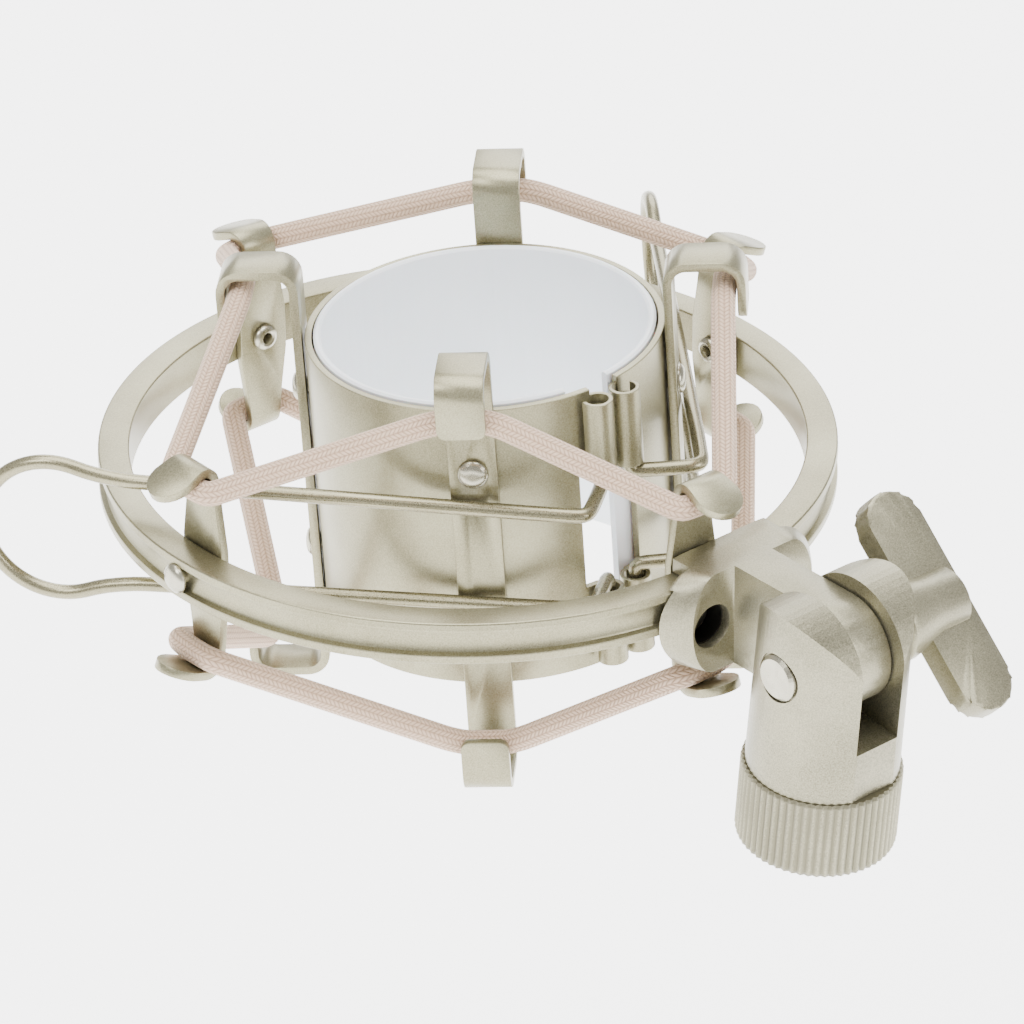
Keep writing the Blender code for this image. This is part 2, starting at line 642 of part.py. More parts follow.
def inner_strut(name, d):
    """Strip down the sleeve whose ends are rolled out and back into hooks."""
    def hook(reach):
        top, b = reach - I_STRUT_T / 2, HOOK_BEND_R
        end = top + I_STRUT_T / 2 - HOOK_LIP_LEN
        line = [(I_STRUT_R, z) for z in (-12.0, 0.0, top - b)]
        line += arc(I_STRUT_R + b, top - b, b, 180, 90, 7)[1:]
        line += arc(HOOK_LIP_R - b, top - b, b, 90, 0, 7)
        return line + [(HOOK_LIP_R, z) for z in (end + 1.2, end + 0.6, end + 0.2, end)]

    up, down = hook(HOOK_UP), hook(HOOK_DOWN)
    half = I_STRUT_HALF_W
    widths = [half] * (len(up) - 3) + [half - 0.15, half - 0.5, half - 1.1]
    line = [(u, -SLEEVE_H - v) for u, v in reversed(down)] + up
    widths = list(reversed(widths)) + widths
    bm = ribbon(line, widths, I_STRUT_T, lambda u, v, w: sleeve_point(d, u, w, v))
    strut = add_object(name, bm, "satin_nickel", origin=sleeve_point(d, I_STRUT_R, 0, 0))
    axis = TO_SLEEVE.to_3x3() @ Vector((*d, 0)).normalized()
    holes = [add_object("cut_hole", turned(cylinder(RIVET_SHANK + 0.15, 22, 28, 14), axis,
                                           sleeve_point(d, 0, 0, z)), None) for z in RIVET_ZS]
    boolean(strut, holes, "DIFFERENCE")
    weld(strut)
    return strut


def sleeve_rivet(name, d, z):
    face = I_STRUT_R + I_STRUT_T / 2 + 0.12
    inner = SLEEVE_R - SLEEVE_WALL + 0.1
    profile = [(0, inner), (RIVET_SHANK, inner), (RIVET_SHANK, face), (RIVET_R, face),
               (RIVET_R, face + 0.15), (RIVET_R * 0.85, face + 0.6),
               (RIVET_R * 0.5, face + 0.9), (0, face + 1.0)]
    axis = TO_SLEEVE.to_3x3() @ Vector((*d, 0)).normalized()
    bm = turned(lathe(profile, 16), axis, sleeve_point(d, 0, 0, z))
    return add_object(name, bm, "rivet_nickel")


def band(name, sign):
    """Closed elastic loop: inside the four hooks, outside the four outer struts."""
    struts = ["front", "right", "back", "left"]
    hooks = ["front_right", "back_right", "back_left", "front_left"]
    points, sizes = [], []
    neck_z = O_LIFT + sign * (O_TAB_Z - 0.5 - BAND_R - 0.4)
    seat = O_STRUT_R + O_STRUT_T / 2 + BAND_R + 0.25
    edge = O_HALF_NECK + 1.3
    for strut, hook in zip(struts, hooks):
        d = STRUT_DIRS[strut]
        for side, out, size in ((-edge, seat - 0.3, 1.4), (-2.0, seat, 1.0), (2.0, seat, 1.0),
                                (edge, seat - 0.3, 1.4)):
            points.append(ring_point(d, out, side, neck_z))
            sizes.append(size)
        h = HOOK_DIRS[hook]
        lift = HOOK_SEATS[hook] if sign > 0 else -SLEEVE_H - HOOK_DOWN + BAND_LOW_SEAT
        for side in (-3.6, 3.6):
            points.append(sleeve_point(h, BAND_HOOK_R, side, lift))
            sizes.append(3.0)
    path = rounded(points, sizes, steps=2, closed=True)
    return add_object(name, tube(path, BAND_R, 10, closed=True), "elastic_beige")


def wire_handle(name, sx):
    """Spring-wire lever: both ends hinge in the knuckles, the loop straddles the ring."""
    mid = -SLEEVE_H / 2
    knuckle = Vector((sx * KNUCKLE_OFF, -KNUCKLE_RAD))
    corner, run, rise = WIRE_RUNS[name]
    corner, run = Vector(corner), Vector(run).normalized()

    def along(s, height):
        """Point `s` along the wires from the corner and `height` above their middle line."""
        return Vector((corner.x + run.x * s, corner.y + run.y * s, mid + rise * s + height))

    arms = []
    for side in (1, -1):
        inner, outer = side * WIRE_GAP_IN, side * WIRE_GAP_OUT
        start = -KNUCKLE_TOP - 1.2 if side > 0 else KNUCKLE_TOP + 1.2 - SLEEVE_H
        arm = [Vector((*knuckle, start)), Vector((*knuckle, mid + inner)), along(0, inner)]
        arm += [along(WIRE_NECK, outer), along(WIRE_NECK + 3.6, outer + side * 0.15)]
        arms.append(rounded(arm, [0, 1.3, 2.2, 1.5, 0], steps=4))
    loop = []
    for i in range(17):
        a = math.radians(122 - 244 * i / 16)
        loop.append(along(LOOP_CENTRE + LOOP_R * math.cos(a), LOOP_R * math.sin(a)))
    path = [TO_SLEEVE @ p for p in arms[0] + loop + list(reversed(arms[1]))]
    pivot = TO_SLEEVE @ Vector((knuckle.x, knuckle.y, 0))
    return add_object(name, tube(path, WIRE_R, 10), "wire_steel", origin=pivot)


# ---------------------------------------------------------------- build

def let_ring_sag():
    """Lean everything beyond the tilt pin by the angle the clamp is set at."""
    pivot = Vector((0, 0, PIVOT_Z))
    turn = Matrix.Rotation(math.radians(-RING_SAG), 4, "X")
    for obj in bpy.data.objects:
        if obj.name not in ("swivel_body", "clamp_screw", "wing_handle"):
            obj.data.transform(turn)
            obj.location = pivot + turn @ (obj.location - pivot)


def to_metres():
    for obj in bpy.data.objects:
        obj.data.transform(Matrix.Scale(MM, 4))
        obj.location = obj.location * MM


def build():
    clear_scene()
    swivel_body()
    clamp_screw()
    wing_handle()
    ring_bracket()
    suspension_ring()
    bracket_screw("bracket_screw_left", -1)
    bracket_screw("bracket_screw_right", 1)
    for name, d in STRUT_DIRS.items():
        outer_strut(f"outer_strut_{name}", d)
        ring_rivet(f"ring_rivet_{name}", d)
    sleeve()
    liner()
    for name, d in HOOK_DIRS.items():
        inner_strut(f"inner_strut_{name}", d)
        for level, z in zip(("upper", "lower"), RIVET_ZS):
            sleeve_rivet(f"sleeve_rivet_{name}_{level}", d, z)
    wire_handle("wire_handle_left", -1)
    wire_handle("wire_handle_right", 1)
    band("band_upper", 1)
    band("band_lower", -1)
    let_ring_sag()
    to_metres()


build()
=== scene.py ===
"""Studio scene of an elastic-suspended microphone shock mount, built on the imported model."""
import json
import math

import bmesh
import bpy
from mathutils import Matrix, Vector


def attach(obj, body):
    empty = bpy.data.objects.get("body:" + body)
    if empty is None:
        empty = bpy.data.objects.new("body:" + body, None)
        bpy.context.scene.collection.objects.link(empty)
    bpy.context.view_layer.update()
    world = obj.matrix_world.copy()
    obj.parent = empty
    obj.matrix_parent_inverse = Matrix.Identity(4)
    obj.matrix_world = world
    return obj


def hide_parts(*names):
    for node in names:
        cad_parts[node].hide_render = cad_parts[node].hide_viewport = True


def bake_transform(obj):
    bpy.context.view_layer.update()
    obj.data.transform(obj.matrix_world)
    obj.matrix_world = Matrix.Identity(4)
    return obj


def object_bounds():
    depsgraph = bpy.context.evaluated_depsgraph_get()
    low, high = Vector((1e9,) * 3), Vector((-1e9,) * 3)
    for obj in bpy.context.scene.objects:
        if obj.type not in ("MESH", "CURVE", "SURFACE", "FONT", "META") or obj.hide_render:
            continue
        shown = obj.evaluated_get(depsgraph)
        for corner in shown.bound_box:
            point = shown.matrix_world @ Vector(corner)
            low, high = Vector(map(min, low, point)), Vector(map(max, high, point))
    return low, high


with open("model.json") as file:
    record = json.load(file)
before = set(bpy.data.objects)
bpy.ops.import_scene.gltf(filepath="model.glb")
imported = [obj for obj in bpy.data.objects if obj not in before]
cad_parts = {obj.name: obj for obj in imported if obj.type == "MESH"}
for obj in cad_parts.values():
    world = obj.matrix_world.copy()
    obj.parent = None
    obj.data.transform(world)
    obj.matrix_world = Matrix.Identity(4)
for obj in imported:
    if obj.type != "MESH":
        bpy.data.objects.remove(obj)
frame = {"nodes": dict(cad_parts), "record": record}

CAD_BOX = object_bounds()
MM = 0.001

# limits of the shading in the knurl's grooves, in millimetres
KNURL_R, KNURL_VALLEY, KNURL_H = 10.65, 10.3, 11.6

# the same driving sizes as the CAD, in millimetres
SCREW_X, SCREW_Z, CBORE_R, SCREW_SINK = 7.1, 28.3, 3.1, 2.2
PIVOT = Vector((0.0, 0.0, 28.6))
RING_SAG = 5.5
RING_C = Vector((-4.0, 68.0, 30.6))
RING_R_OUT, RING_R_IN, RING_HALF_H = 50.0, 45.75, 3.02
GROOVE_R, GROOVE_HALF_H, SEAM_GAP = 49.1, 1.65, 1.2
O_STRUT_R, O_STRUT_T, O_TAB_Z, O_LIFT, O_HALF_NECK = 44.95, 1.2, 15.2, 0.4, 2.6
SLEEVE_TOP = Vector((-2.4, 66.1, 50.5))
SLEEVE_AXIS = Vector((-0.0319, 0.0446, 0.9985)).normalized()
SLEEVE_R, SLEEVE_WALL, SLEEVE_H = 24.2, 1.0, 41.3
WINDOW_HALF = 4.7
KNUCKLE_R, KNUCKLE_SHEET, KNUCKLE_OFF, KNUCKLE_RAD = 2.1, 0.6, 2.35, 25.45
KNUCKLE_TOP, KNUCKLE_END = 0.9, 12.1
I_STRUT_R, I_STRUT_T = 24.95, 1.2
RIVET_R, RIVET_SHANK, RIVET_ZS = 2.05, 1.2, (-8.6, -32.7)
HOOK_DOWN, BAND_R, BAND_HOOK_R, BAND_LOW_SEAT = 10.9, 1.65, 32.35, 6.6
BAND_HOOK_HALF, BAND_COLUMNS, BAND_PITCH = 3.6, 14, 0.62
HOOK_SEATS = {"front_left": 2.9, "front_right": 5.0, "back_right": 4.0, "back_left": 6.0}
WIRE_R, WIRE_GAP_IN, WIRE_GAP_OUT = 1.0, 7.0, 7.8
WIRE_NECK, LOOP_CENTRE, LOOP_R = 60.0, 72.4, 10.0
WIRE_RUNS = {
    "wire_handle_left": (-1, (-9.7, -31.05), (-0.625, 0.781), 0.033),
    "wire_handle_right": (1, (10.2, -31.7), (0.59, 0.807), 0.0),
}
HOOK_DIRS = {
    "front_left": (-1, -1), "front_right": (1, -1), "back_right": (1, 1), "back_left": (-1, 1),
}
STRUT_DIRS = {"front": (0, -1), "right": (1, 0), "back": (0, 1), "left": (-1, 0)}

SAG = (Matrix.Translation(PIVOT) @ Matrix.Rotation(math.radians(-RING_SAG), 4, "X")
       @ Matrix.Translation(-PIVOT))
TO_RING = SAG @ Matrix.Translation(RING_C)
TO_SLEEVE = SAG @ Matrix.Translation(SLEEVE_TOP) @ (
    Vector((0, 0, 1)).rotation_difference(SLEEVE_AXIS).to_matrix().to_4x4())


# ---------------------------------------------------------------- materials

class Shader:
    """Small wrapper for building one Principled node material."""

    def __init__(self, name):
        self.mat = bpy.data.materials.new(name)
        self.mat.use_nodes = True
        self.tree = self.mat.node_tree
        self.out = self.tree.nodes["Principled BSDF"]

    def set(self, **sockets):
        for key, value in sockets.items():
            self.out.inputs[key.replace("_", " ")].default_value = value

    def node(self, kind, **inputs):
        node = self.tree.nodes.new(kind)
        for key, value in inputs.items():
            node.inputs[key.replace("_", " ")].default_value = value
        return node

    def link(self, source, target):
        self.tree.links.new(source, target)

    def math(self, op, a, b=None):
        node = self.tree.nodes.new("ShaderNodeMath")
        node.operation = op
        for i, value in enumerate((a, b)):
            if value is None:
                continue
            if isinstance(value, (int, float)):
                node.inputs[i].default_value = value
            else:
                self.link(value, node.inputs[i])
        return node.outputs[0]

    def coords(self):
        return self.node("ShaderNodeTexCoord").outputs["Object"]

    def noise(self, scale, detail=3.0, rough=0.5):
        node = self.node("ShaderNodeTexNoise", Scale=scale, Detail=detail, Roughness=rough)
        self.link(self.coords(), node.inputs["Vector"])
        return node.outputs["Fac"]

    def ramp(self, value, stops):
        node = self.tree.nodes.new("ShaderNodeValToRGB")
        ramp = node.color_ramp
        ramp.elements[0].position, ramp.elements[0].color = stops[0][0], (*stops[0][1], 1)
        ramp.elements[1].position, ramp.elements[1].color = stops[-1][0], (*stops[-1][1], 1)
        for position, colour in stops[1:-1]:
            ramp.elements.new(position).color = (*colour, 1)
        self.link(value, node.inputs["Fac"])
        return node.outputs["Color"]

    def span(self, value, low, high):
        node = self.node("ShaderNodeMapRange", To_Min=low, To_Max=high)
        self.link(value, node.inputs["Value"])
        return node.outputs["Result"]

    def bump(self, layers):
        """Stack bump layers given as (height, strength, distance in metres)."""
        normal = None
        for height, strength, distance in layers:
            node = self.node("ShaderNodeBump", Strength=strength, Distance=distance)
            self.link(height, node.inputs["Height"])
            if normal is not None:
                self.link(normal, node.inputs["Normal"])
            normal = node.outputs["Normal"]
        self.link(normal, self.out.inputs["Normal"])


def knurl_painted_shade(sh):
    """Painted shade factor: one on the swivel's plain faces, and less down in the knurl grooves of
    its grip.
    """
    parts = sh.tree.nodes.new("ShaderNodeSeparateXYZ")
    sh.link(sh.coords(), parts.inputs[0])
    x, y, z = parts.outputs
    radius = sh.math("SQRT", sh.math("ADD", sh.math("MULTIPLY", x, x), sh.math("MULTIPLY", y, y)))
    node = sh.node("ShaderNodeMapRange", From_Min=KNURL_VALLEY * MM, From_Max=KNURL_R * MM,
                   To_Min=0.25, To_Max=1.0)
    sh.link(radius, node.inputs["Value"])
    above = sh.math("GREATER_THAN", z, KNURL_H * MM)
    return sh.math("MAXIMUM", node.outputs["Result"], above)


def lacquer(name, dark, light, rough, grain, grain_size, painted_groove_shade=False):
    """Nickel-coloured metallic lacquer: fine flake sparkle over a soft cloudy tone."""
    sh = Shader(name)
    cloud = sh.noise(70.0, 4.0)
    flake = sh.noise(5200.0, 1.0, 0.6)
    tone = sh.math("ADD", sh.math("MULTIPLY", cloud, 0.45), sh.math("MULTIPLY", flake, 0.55))
    # painted shade down in the grooves of the swivel's knurl
    if painted_groove_shade:
        tone = sh.math("MULTIPLY", tone, knurl_painted_shade(sh))
    sh.link(sh.ramp(tone, [(0.33, dark), (0.66, light)]), sh.out.inputs["Base Color"])
    sh.link(sh.span(flake, rough - 0.13, rough + 0.13), sh.out.inputs["Roughness"])
    sh.bump([(sh.noise(grain_size, 3.0, 0.55), grain, 0.00006),
             (flake, grain * 0.6, 0.00002)])
    sh.set(Metallic=0.82, Coat_Weight=0.18, Coat_Roughness=0.22)
    return sh.mat


def plated(name, colour, rough):
    """Plated rivet or screw: bright, with faint turning marks and handling dulling."""
    sh = Shader(name)
    cloud = sh.noise(420.0, 4.0)
    dark = tuple(c * 0.78 for c in colour)
    sh.link(sh.ramp(cloud, [(0.35, dark), (0.65, colour)]), sh.out.inputs["Base Color"])
    sh.link(sh.span(cloud, rough - 0.08, rough + 0.12), sh.out.inputs["Roughness"])
    sh.bump([(sh.noise(2600.0, 2.0), 0.12, 0.00003)])
    sh.set(Metallic=0.95)
    return sh.mat


def liner_plastic(name):
    sh = Shader(name)
    cloud = sh.noise(45.0, 3.0)
    sh.link(sh.ramp(cloud, [(0.3, (0.79, 0.825, 0.86)), (0.7, (0.86, 0.885, 0.91))]),
            sh.out.inputs["Base Color"])
    sh.link(sh.span(sh.noise(600.0), 0.34, 0.5), sh.out.inputs["Roughness"])
    sh.bump([(sh.noise(900.0, 2.0), 0.05, 0.00005)])
    sh.set(Subsurface_Weight=0.08, Subsurface_Scale=0.002)
    return sh.mat


def braid(name):
    """Elastic cord cover: columns of leaning stitches that alternate, so they read as Vs."""
    sh = Shader(name)
    uv = sh.node("ShaderNodeTexCoord").outputs["UV"]
    parts = sh.tree.nodes.new("ShaderNodeSeparateXYZ")
    sh.link(uv, parts.inputs[0])
    along, around = parts.outputs[0], parts.outputs[1]
    column = sh.math("FLOOR", around)
    part = sh.math("FRACT", around)
    lean = sh.math("SUBTRACT", sh.math("MULTIPLY", sh.math("MODULO", column, 2.0), 2.0), 1.0)
    offset = sh.math("MULTIPLY", lean, sh.math("SUBTRACT", part, 0.5))
    phase = sh.math("ADD", along, offset)
    stitch = sh.math("ABSOLUTE", sh.math("SINE", sh.math("MULTIPLY", phase, math.pi)))
    ridge = sh.math("POWER", sh.math("SINE", sh.math("MULTIPLY", part, math.pi)), 0.6)
    height = sh.math("MULTIPLY", sh.math("POWER", stitch, 0.7), ridge)
    fibre = sh.noise(9000.0, 2.0)
    # colour follows stitch height: darker down between the stitches as painted shade, with random
    # fibre tone on top
    tone = sh.math("ADD", sh.math("MULTIPLY", height, 0.8), sh.math("MULTIPLY", fibre, 0.25))
    sh.link(sh.ramp(tone, [(0.05, (0.30, 0.18, 0.11)), (0.4, (0.55, 0.37, 0.25)),
                           (0.95, (0.75, 0.55, 0.40))]), sh.out.inputs["Base Color"])
    sh.bump([(height, 0.9, 0.00014), (fibre, 0.3, 0.00003)])
    sh.set(Roughness=0.78, Sheen_Weight=0.35, Sheen_Roughness=0.5,
           Sheen_Tint=(1.0, 0.93, 0.88, 1.0))
    return sh.mat


SATIN = lacquer("satin_nickel", (0.205, 0.185, 0.107), (0.375, 0.35, 0.23), 0.36, 0.10, 900.0)
CAST = lacquer("cast_nickel", (0.19, 0.175, 0.112), (0.37, 0.345, 0.24), 0.40, 0.6, 1300.0)
# darker copy of the cast lacquer, with painted shade in the knurl's grooves
KNURLED_PAINTED_SHADE = lacquer("knurled_nickel_painted_shade", (0.16, 0.148, 0.095), (0.37, 0.345, 0.24), 0.40, 0.6, 1300.0,
                  painted_groove_shade=True)
WIRE = lacquer("wire_nickel", (0.19, 0.17, 0.098), (0.34, 0.31, 0.2), 0.30, 0.10, 1500.0)
RIVET = plated("rivet_nickel", (0.50, 0.475, 0.37), 0.26)
STEEL = plated("screw_steel", (0.13, 0.125, 0.115), 0.35)
# near-black finish of the counterbore linings: painted shade
COUNTERBORE_SHADE = plated("counterbore_painted_shade", (0.055, 0.052, 0.045), 0.5)
LINER = liner_plastic("liner_white")
BRAID = braid("elastic_braid")


# ---------------------------------------------------------------- mesh helpers

def finish_piece(name, bm, mat, body, nodes, bevel=0.0, smooth=40.0, segments=2):
    """Turn a bmesh drawn in millimetres into a piece that rides on a body."""
    bmesh.ops.recalc_face_normals(bm, faces=bm.faces)
    bmesh.ops.scale(bm, verts=bm.verts, vec=(MM, MM, MM))
    mesh = bpy.data.meshes.new(name)
    bm.to_mesh(mesh)
    bm.free()
    return dress(name, mesh, mat, body, nodes, bevel, smooth, segments)


def dress(name, mesh, mat, body, nodes, bevel, smooth, segments):
    for poly in mesh.polygons:
        poly.use_smooth = True
        poly.material_index = 0
    mesh.materials.clear()
    mesh.materials.append(mat)
    obj = bpy.data.objects.new(name, mesh)
    bpy.context.scene.collection.objects.link(obj)
    if bevel:
        mod = obj.modifiers.new("edges", "BEVEL")
        mod.width = bevel * MM
        mod.segments = segments
        mod.limit_method = "ANGLE"
        mod.angle_limit = math.radians(32)
        mod.use_clamp_overlap = True
        mod.harden_normals = True
    else:
        mesh.set_sharp_from_angle(angle=math.radians(smooth))
    if body:
        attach(obj, body)
    for node in nodes:
        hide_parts(node)
    return obj


def softened(node, mat, width, segments=2):
    """A copy of a CAD node with its sharp edges rounded over, so that they catch the light."""
    bm = bmesh.new()
    bm.from_mesh(frame["nodes"][node].data)
    bmesh.ops.remove_doubles(bm, verts=bm.verts, dist=2e-6)
    bmesh.ops.dissolve_limit(bm, angle_limit=math.radians(0.4), verts=bm.verts, edges=bm.edges)
    bmesh.ops.recalc_face_normals(bm, faces=bm.faces)
    mesh = bpy.data.meshes.new(node + "_soft")
    bm.to_mesh(mesh)
    bm.free()
    body = next(b for b, names in BODIES.items() if node in names)
    return dress(node + "_soft", mesh, mat, body, [node], width, 40.0, segments)


def revolved(profile, count, start, sweep, at):
    """Spin a closed (radius, z) outline about the local Z axis, then place it."""
    bm = bmesh.new()
    full = abs(sweep - 360.0) < 1e-6
    columns = count if full else count + 1
    rings = []
    for i in range(columns):
        a = math.radians(start + sweep * i / count)
        rings.append([bm.verts.new(at @ Vector((r * math.cos(a), r * math.sin(a), z)))
                      for r, z in profile])
    size = len(profile)
    for i in range(count):
        one, two = rings[i], rings[(i + 1) % columns]
        for j in range(size):
            k = (j + 1) % size
            bm.faces.new((one[j], one[k], two[k], two[j]))
    if not full:
        bm.faces.new(rings[0])
        bm.faces.new(list(reversed(rings[-1])))
    return bm


def button(profile, at, count=36):
    """Spin an open (radius, height) outline that starts and ends on the axis."""
    bm = bmesh.new()
    first, last = (bm.verts.new(at @ Vector((0, 0, h))) for _, h in (profile[0], profile[-1]))
    rings = [[bm.verts.new(at @ Vector((r * math.cos(2 * math.pi * i / count),
                                        r * math.sin(2 * math.pi * i / count), h)))
              for i in range(count)] for r, h in profile[1:-1]]
    for i in range(count):
        k = (i + 1) % count
        bm.faces.new((first, rings[0][k], rings[0][i]))
        bm.faces.new((last, rings[-1][i], rings[-1][k]))
        for low, high in zip(rings, rings[1:]):
            bm.faces.new((low[i], low[k], high[k], high[i]))
    return bm


def facing(frame_matrix, direction, out, up):
    """Local frame whose Z axis points outward at a place on the ring or sleeve."""
    d = Vector((direction[0], direction[1], 0)).normalized()
    quat = Vector((0, 0, 1)).rotation_difference(d)
    return (frame_matrix @ Matrix.Translation(d * out + Vector((0, 0, up)))
            @ quat.to_matrix().to_4x4())


def spot(frame_matrix, direction, out, side, up):
    d = Vector((direction[0], direction[1], 0)).normalized()
    return frame_matrix @ (d * out + Vector((-d.y, d.x, 0)) * side + Vector((0, 0, up)))


def rounded(points, sizes, steps=8):
    """Polyline with each inner corner replaced by a smooth bend."""
    out = [points[0]]
    for i in range(1, len(points) - 1):
        p, before, after = points[i], points[i - 1], points[i + 1]
        a = p + (before - p).normalized() * min(sizes[i], (before - p).length * 0.48)
        b = p + (after - p).normalized() * min(sizes[i], (after - p).length * 0.48)
        for s in range(steps + 1):
            t = s / steps
            out.append(a * (1 - t) ** 2 + p * 2 * t * (1 - t) + b * t ** 2)
    return out + [points[-1]]


def evenly(points, step):
    """The same line with points at an even spacing, and the distance along it."""
    out, marks, left, total = [points[0]], [0.0], step, 0.0
    for a, b in zip(points, points[1:]):
        length, done = (b - a).length, 0.0
        while length - done >= left:
            done += left
            out.append(a.lerp(b, done / length))
            marks.append(total + done)
            left = step
        left -= length - done
        total += length
    if (out[-1] - points[-1]).length > step * 0.3:
        out.append(points[-1])
        marks.append(total)
    else:
        out[-1] = points[-1]
    return out, marks


def tube(points, marks, radius, sides, columns=0, pitch=1.0):
    """Round bar along a line; `columns` and `pitch` lay out the braid's coordinates."""
    bm = bmesh.new()
    uv = bm.loops.layers.uv.new("UVMap")
    rings = []
    side_hint = None
    for i, p in enumerate(points):
        tangent = (points[min(i + 1, len(points) - 1)] - points[max(i - 1, 0)]).normalized()
        if side_hint is None:
            side_hint = tangent.orthogonal().normalized()
            if columns:
                side_hint = Vector((0, 0, 1))
        a = (side_hint - tangent * side_hint.dot(tangent)).normalized()
        if not columns:
            side_hint = a
        b = tangent.cross(a)
        rings.append([bm.verts.new(p + radius * (math.cos(2 * math.pi * k / sides) * a
                                                 + math.sin(2 * math.pi * k / sides) * b))
                      for k in range(sides)])
    for i in range(len(points) - 1):
        for k in range(sides):
            m = (k + 1) % sides
            face = bm.faces.new((rings[i][k], rings[i][m], rings[i + 1][m], rings[i + 1][k]))
            spread = (k, k + 1, k + 1, k)
            mark = (marks[i], marks[i], marks[i + 1], marks[i + 1])
            for loop, s, m_along in zip(face.loops, spread, mark):
                loop[uv].uv = (m_along / pitch, columns * s / sides)
    for ring in (rings[0], rings[-1]):
        cap = bm.faces.new(ring)
        for loop in cap.loops:
            loop[uv].uv = (0.5, 0.5)
    return bm


# ---------------------------------------------------------------- ring side

BODIES = frame["record"]["behaviour"]["bodies"]


def make_ring():
    """Band ring with softened edges and a rolled bead along both lips of its groove."""
    h, g, c = RING_HALF_H, GROOVE_HALF_H, 0.28
    profile = []

    def corner(x, z, ax, az):
        """Quarter-round from the axis `ax` side to the `az` side of an outside corner."""
        for i in range(5):
            a = math.pi / 2 * i / 4
            u, v = 1 - math.sin(a), 1 - math.cos(a)
            profile.append((x - ax * c * v, z - az * c * u) if ax * az > 0
                           else (x - ax * c * u, z - az * c * v))

    corner(RING_R_IN, -h, -1, -1)
    corner(RING_R_OUT, -h, 1, -1)
    profile.extend([(RING_R_OUT, -g - 0.45), (RING_R_OUT + 0.04, -g - 0.3),
                    (RING_R_OUT - 0.05, -g - 0.1), (GROOVE_R + 0.15, -g + 0.08),
                    (GROOVE_R, -g + 0.3), (GROOVE_R, g - 0.3), (GROOVE_R + 0.15, g - 0.08),
                    (RING_R_OUT - 0.05, g + 0.1), (RING_R_OUT + 0.04, g + 0.3),
                    (RING_R_OUT, g + 0.45)])
    corner(RING_R_OUT, h, 1, 1)
    corner(RING_R_IN, h, -1, 1)
    half_gap = math.degrees(SEAM_GAP / 2 / RING_R_OUT)
    seam = math.degrees(math.asin(-RING_C.x / RING_R_OUT))
    bm = revolved(profile, 260, -90 + seam + half_gap, 360 - 2 * half_gap, TO_RING)
    ring = finish_piece("ring_band", bm, SATIN, "ring", ["suspension_ring"])
    for sx in (-1, 1):
        cut = finish_piece("cutter", button(
            [(0, 5), (CBORE_R, 5), (CBORE_R, screw_seat(sx)), (0, screw_seat(sx))],
            screw_place(sx), 48), SATIN, None, [])
        mod = ring.modifiers.new("counterbore", "BOOLEAN")
        mod.operation, mod.object, mod.solver = "DIFFERENCE", cut, "EXACT"
        bpy.context.view_layer.update()
        done = bpy.data.meshes.new_from_object(
            ring.evaluated_get(bpy.context.evaluated_depsgraph_get()))
        ring.modifiers.clear()
        ring.data = done
        bpy.data.objects.remove(cut)
    ring.data.set_sharp_from_angle(angle=math.radians(40))


def screw_place(sx):
    """Local frame of a bracket screw, with its Z axis pointing in towards the ring's centre."""
    return (SAG @ Matrix.Translation((sx * SCREW_X, 0, SCREW_Z))
            @ Matrix.Rotation(math.radians(-90), 4, "X"))


def screw_seat(sx):
    side = sx * SCREW_X - RING_C.x
    return RING_C.y - math.sqrt(RING_R_OUT ** 2 - side ** 2) + SCREW_SINK


def make_counterbore_shade_cups():
    """Dark cup linings in the two counterbores down to their screws: painted shade in the deep
    holes.
    """
    for side, sx in (("left", -1), ("right", 1)):
        seat = screw_seat(sx) - 0.05
        profile = [(0, seat), (CBORE_R - 0.04, seat), (CBORE_R - 0.04, 16.7),
                   (CBORE_R - 0.2, 16.7), (CBORE_R - 0.2, seat - 0.15), (0, seat - 0.15)]
        node = f"bracket_screw_{side}"
        # near-black lining piece: painted shade inside the counterbore
        finish_piece(node + "_shade_cup", button(profile, screw_place(sx)), COUNTERBORE_SHADE, "ring", [node])
        softened(node, STEEL, 0.08)


def make_ring_rivets():
    inner = O_STRUT_R - O_STRUT_T / 2 - 0.12
    for name, d in STRUT_DIRS.items():
        tail = [(0, inner + 1.0), (0.55, inner + 0.95), (0.72, inner - 0.3), (0.85, inner - 0.75),
                (1.15, inner - 0.95), (1.55, inner - 0.85), (1.85, inner - 0.45),
                (1.92, inner - 0.1), (1.9, inner + 0.05), (RIVET_SHANK, inner + 0.05)]
        neck = RING_R_OUT + 0.02
        head = [(RIVET_SHANK, neck), (RIVET_R, neck), (RIVET_R + 0.03, neck + 0.25),
                (RIVET_R * 0.95, neck + 0.55), (RIVET_R * 0.75, neck + 0.88),
                (RIVET_R * 0.4, neck + 1.06), (0, neck + 1.12)]
        if name == "front":
            head = [(RIVET_SHANK, RING_R_IN + 1.4), (0, RING_R_IN + 1.4)]
        bm = button(tail + head, facing(TO_RING, d, 0, 0))
        finish_piece(f"ring_rivet_{name}_turned", bm, RIVET, "ring", [f"ring_rivet_{name}"])


# ---------------------------------------------------------------- sleeve side

